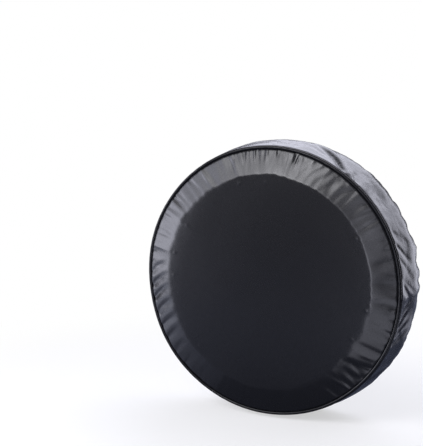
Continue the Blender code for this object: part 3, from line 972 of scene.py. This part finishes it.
def knit_material(name, groups, colour, painted_yarn_highlight):
    made, wires, shader = new_material(name, colour, 0.9)
    loops = patterned(wires, groups["knit"], Pitch=0.0011, Height=0.00022, Normal=plain_normal(wires))
    wires.feed(shader.inputs["Normal"], loops["Normal"])
    # Painted light and shade: the yarn tops are coloured lighter and the gaps between the loops darker,
    # following the loops' relief.
    wires.feed(shader.inputs["Base Color"], tinted(wires, loops["Mask"], colour, painted_yarn_highlight))
    shader.inputs["Sheen Weight"].default_value = 0.15
    return made


def strand_material(name, groups, low, high, roughness, lay, girth, strands, cross, height):
    """A cord or thread with its strands; painted shade makes it low in colour between them, painted light
    high on them.
    """
    made, wires, shader = new_material(name, high, roughness)
    wound = patterned(wires, groups["strands"], Lay=lay, Girth=girth, Strands=strands, Cross=cross,
                      Height=height, Normal=plain_normal(wires))
    wires.feed(shader.inputs["Normal"], wound["Normal"])
    # Painted shade and highlight: darker in the grooves between the strands, lighter on them.
    wires.feed(shader.inputs["Base Color"], tinted(wires, wound["Mask"], low, high))
    return made


def finishes():
    groups = {"grain": pebble_grain(), "creases": soft_creases(), "dust": fine_dust(),
              "knit": knit_loops(), "strands": laid_strands()}
    black, dusty = (0.0050, 0.0050, 0.0062), (0.0062, 0.0062, 0.0072)
    return {
        "panel": vinyl_material("panel_vinyl", groups, black, dusty, 0.245, 0.040, 0.00006),
        "band": vinyl_material("band_vinyl", groups, black, dusty, 0.24, 0.011, 0.00018),
        "piping": vinyl_material("piping_vinyl", groups, (0.0040, 0.0040, 0.0048), (0.0050, 0.0050, 0.0058),
                                 0.24, 0.020, 0.00005, shine=0.25),
        # The backing's second colour is painted highlight on the yarn tops.
        "backing": knit_material("knitted_backing", groups, (0.010, 0.010, 0.011), (0.035, 0.035, 0.038)),
        "cord": strand_material("filler_cord", groups, (0.42, 0.41, 0.38), (0.72, 0.71, 0.67), 0.85,
                                0.006, CIRCLE * CORD_RADIUS, 3.0, 0.0, 0.0003),
        "elastic": strand_material("braided_elastic", groups, (0.010, 0.010, 0.010), (0.040, 0.040, 0.042),
                                   0.75, 0.0035, CIRCLE * ELASTIC_RADIUS, 8.0, 1.0, 0.0003),
        "thread": strand_material("bonded_thread", groups, (0.006, 0.006, 0.007), (0.022, 0.022, 0.024),
                                  0.45, 0.0008, CIRCLE * THREAD_RADIUS, 3.0, 0.0, 0.00006),
    }


# ---- light, floor and camera ----
def heading_from(azimuth, elevation):
    """A unit vector from the cover. Azimuth 0 is straight in front, + to the right; both in radians."""
    flat = math.cos(elevation)
    return Vector((math.sin(azimuth) * flat, -math.cos(azimuth) * flat, math.sin(elevation)))


def aim(thing, way):
    thing.rotation_euler = way.to_track_quat("-Z", "Y").to_euler()


def area_light(name, width, height, radiance, colour):
    """A rectangular light that isn't seen itself; radiance is how bright its face is."""
    data = bpy.data.lights.new(name, "AREA")
    data.shape = "RECTANGLE"
    data.size = width
    data.size_y = height
    data.energy = radiance * math.pi * width * height
    data.color = colour
    lamp = placed(name, data)
    lamp.visible_camera = False
    return lamp


def softbox(name, azimuth, elevation, distance, *face):
    """A soft light that faces the cover, with area_light's width, height, radiance and colour."""
    lamp = area_light(name, *face)
    back = heading_from(math.radians(azimuth), math.radians(elevation))
    lamp.location = back * distance
    aim(lamp, -back)


def floor_card(name, across, deep, radiance, colour):
    """A light card that lies on the floor, over a range of X and of Y."""
    lamp = area_light(name, across[1] - across[0], deep[1] - deep[0], radiance, colour)
    lamp.location = (sum(across) / 2, sum(deep) / 2, FLOOR_Z + 0.002)
    lamp.rotation_euler = (math.pi, 0.0, 0.0)


COOL = (0.94, 0.95, 1.09)
PALE = (0.98, 0.98, 1.03)

# Name, azimuth, elevation and distance, then width, height, radiance and colour.
SOFTBOXES = [
    ("left_softbox", -55, 2, 1.25, 0.44, 0.36, 4.1, COOL),
    ("left_surround", -54, 6, 1.28, 0.70, 0.94, 3.9, COOL),
    ("upper_softbox", -16, 25, 1.5, 0.40, 0.34, 6.2, PALE),
    ("upper_surround", -20, 33, 1.52, 1.04, 0.86, 4.6, PALE),
    ("right_fill", 12, -4, 0.95, 0.24, 0.40, 2.8, COOL),
    ("right_surround", 15, 2, 0.97, 0.48, 0.66, 1.35, COOL),
    ("right_backdrop", 147, 9, 1.2, 0.60, 0.90, 2.2, COOL),
    ("top_backdrop", 190, 42, 1.5, 1.40, 1.05, 2.5, COOL),
    ("high_backdrop", 134, 45, 1.4, 1.20, 1.00, 1.7, COOL),
]

# Name, range of X, range of Y, radiance and colour.
FLOOR_CARDS = [
    ("low_right_card", (0.14, 0.55), (-0.80, -0.285), 1.55, COOL),
    ("low_left_far_card", (-1.08, -0.62), (-0.66, -0.16), 2.0, (0.90, 0.94, 1.13)),
    ("low_left_card", (-0.62, -0.40), (-0.44, -0.08), 0.75, (0.88, 0.92, 1.16)),
    ("low_left_near_card", (-0.40, -0.26), (-0.32, -0.06), 0.34, (0.86, 0.91, 1.19)),
    ("low_left_last_card", (-0.26, -0.16), (-0.26, -0.06), 0.16, (0.86, 0.91, 1.19)),
    ("low_back_card", (0.34, 0.58), (0.34, 0.60), 0.8, COOL),
]

WHITE = (1.0, 1.0, 1.0, 1.0)
DARK_ROOM = (0.13, 0.13, 0.15, 1.0)          # what all but the camera sees of the surround
DARK_FLOOR = (0.13, 0.145, 0.19, 1.0)        # and of the floor
FLOOR_SIZE = 30.0


def studio():
    for box in SOFTBOXES:
        softbox(*box)
    for card in FLOOR_CARDS:
        floor_card(*card)
    world = bpy.data.worlds.new("pale_studio")
    bpy.context.scene.world = world
    world.use_nodes = True
    wires = Wiring(world.node_tree)
    nodes = world.node_tree.nodes
    nodes["Background"].inputs["Color"].default_value = WHITE
    room = wires.node("ShaderNodeBackground", Color=DARK_ROOM)
    surround = wires.by_ray(room.outputs["Background"], nodes["Background"].outputs["Background"])
    wires.feed(nodes["World Output"].inputs["Surface"], surround)


def pale_floor():
    """A pale floor that runs out into the white surround. Off camera it is dark, as behind the cloth."""
    bpy.ops.object.select_all(action="DESELECT")
    bpy.ops.mesh.primitive_plane_add(size=FLOOR_SIZE, location=(0.0, 0.0, FLOOR_Z))
    floor = bpy.context.object
    floor.name = "pale_floor"
    made, wires, shader = new_material("pale_floor", (0.92, 0.92, 0.92), 0.9)
    place = wires.node("ShaderNodeTexCoord").outputs["Object"]
    far = wires.node("ShaderNodeVectorMath", {"operation": "LENGTH"}, Vector=place).outputs["Value"]
    spread = wires.node("ShaderNodeMapRange", {"interpolation_type": "SMOOTHSTEP"}, Value=far,
                        From_Min=0.25, From_Max=1.00, To_Min=0.55)
    white = wires.node("ShaderNodeEmission", Color=WHITE)
    dim = wires.node("ShaderNodeBsdfDiffuse", Color=DARK_FLOOR)
    seen = wires.blend(spread.outputs["Result"], shader.outputs["BSDF"], white.outputs["Emission"])
    surface = wires.by_ray(dim.outputs["BSDF"], seen)
    wires.feed(made.node_tree.nodes["Material Output"].inputs["Surface"], surface)
    floor.data.materials.append(made)


CAMERA_AZIMUTH = 22.6
CAMERA_ELEVATION = 11.0
CAMERA_DISTANCE = 2.32
CAMERA_YAW = -2.8             # turned from the piping's middle
CAMERA_PITCH = 2.8
CAMERA_LENS = 96.9            # mm on a 36 mm high frame


def camera():
    data = bpy.data.cameras.new("camera")
    data.sensor_width = 36.0
    data.lens = CAMERA_LENS
    eye = placed("camera", data)
    back = heading_from(math.radians(CAMERA_AZIMUTH), math.radians(CAMERA_ELEVATION))
    eye.location = Vector((0.0, PIPING_Y, 0.0)) + back * CAMERA_DISTANCE
    heading = math.atan2(-back.x, -back.y) + math.radians(CAMERA_YAW)
    rise = math.asin(-back.z) + math.radians(CAMERA_PITCH)
    aim(eye, heading_from(math.pi - heading, rise))
    bpy.context.scene.camera = eye


def band_cut_width():
    line = band_rows()[0]
    return line_length(line[:, 0], line[:, 1])[-1]


def fit(piece, node):
    """The piece rides with the frame and stands for a CAD node."""
    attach(piece, "root")
    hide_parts(node)


def main():
    camera()
    studio()
    pale_floor()
    bpy.context.scene.view_settings.view_transform = "Standard"
    look = finishes()

    panel = front_panel(look["panel"], look["backing"])
    sleeve = piping_sleeve(look["piping"], look["backing"])
    cord = cord_piece("piping_filler_cord", PIPING_RADIUS, PIPING_Y, CORD_RADIUS, look["cord"], seam_shift)
    surface = band_surface()
    band = side_band(surface, look["band"], look["backing"])
    elastic = cord_piece("hem_elastic", MOUTH_RADIUS, HEM_Y, ELASTIC_RADIUS, look["elastic"], hem_shift)
    fit(panel, "front_panel")
    fit(band, "side_band")
    fit(sleeve, "piping_sleeve")
    fit(cord, "piping_cord")
    fit(elastic, "elastic_cord")

    panel_face = PANEL_SEAM_RADIUS - SHEET / 2
    band_face = BAND_SEAM_RADIUS + SHEET / 2
    thread = look["thread"]
    rows = [
        (seam_stitches("front_seam_needle_stitches", panel_face, -1, thread), "front_seam_needle_thread"),
        (seam_stitches("front_seam_bobbin_stitches", band_face, 1, thread), "front_seam_bobbin_thread"),
        (hem_stitches("hem_needle_stitches", surface, HEM, 1, thread), "hem_needle_thread"),
        (hem_stitches("hem_bobbin_stitches", surface, FLAP, -1, thread), "hem_bobbin_thread"),
        (join_stitches("band_join_needle_stitches", surface, -1, 1, thread), "band_join_needle_thread"),
        (join_stitches("band_join_bobbin_stitches", surface, 0, -1, thread), "band_join_bobbin_thread"),
    ]
    for row, node in rows:
        fit(row, node)

    band_cut_width()


main()
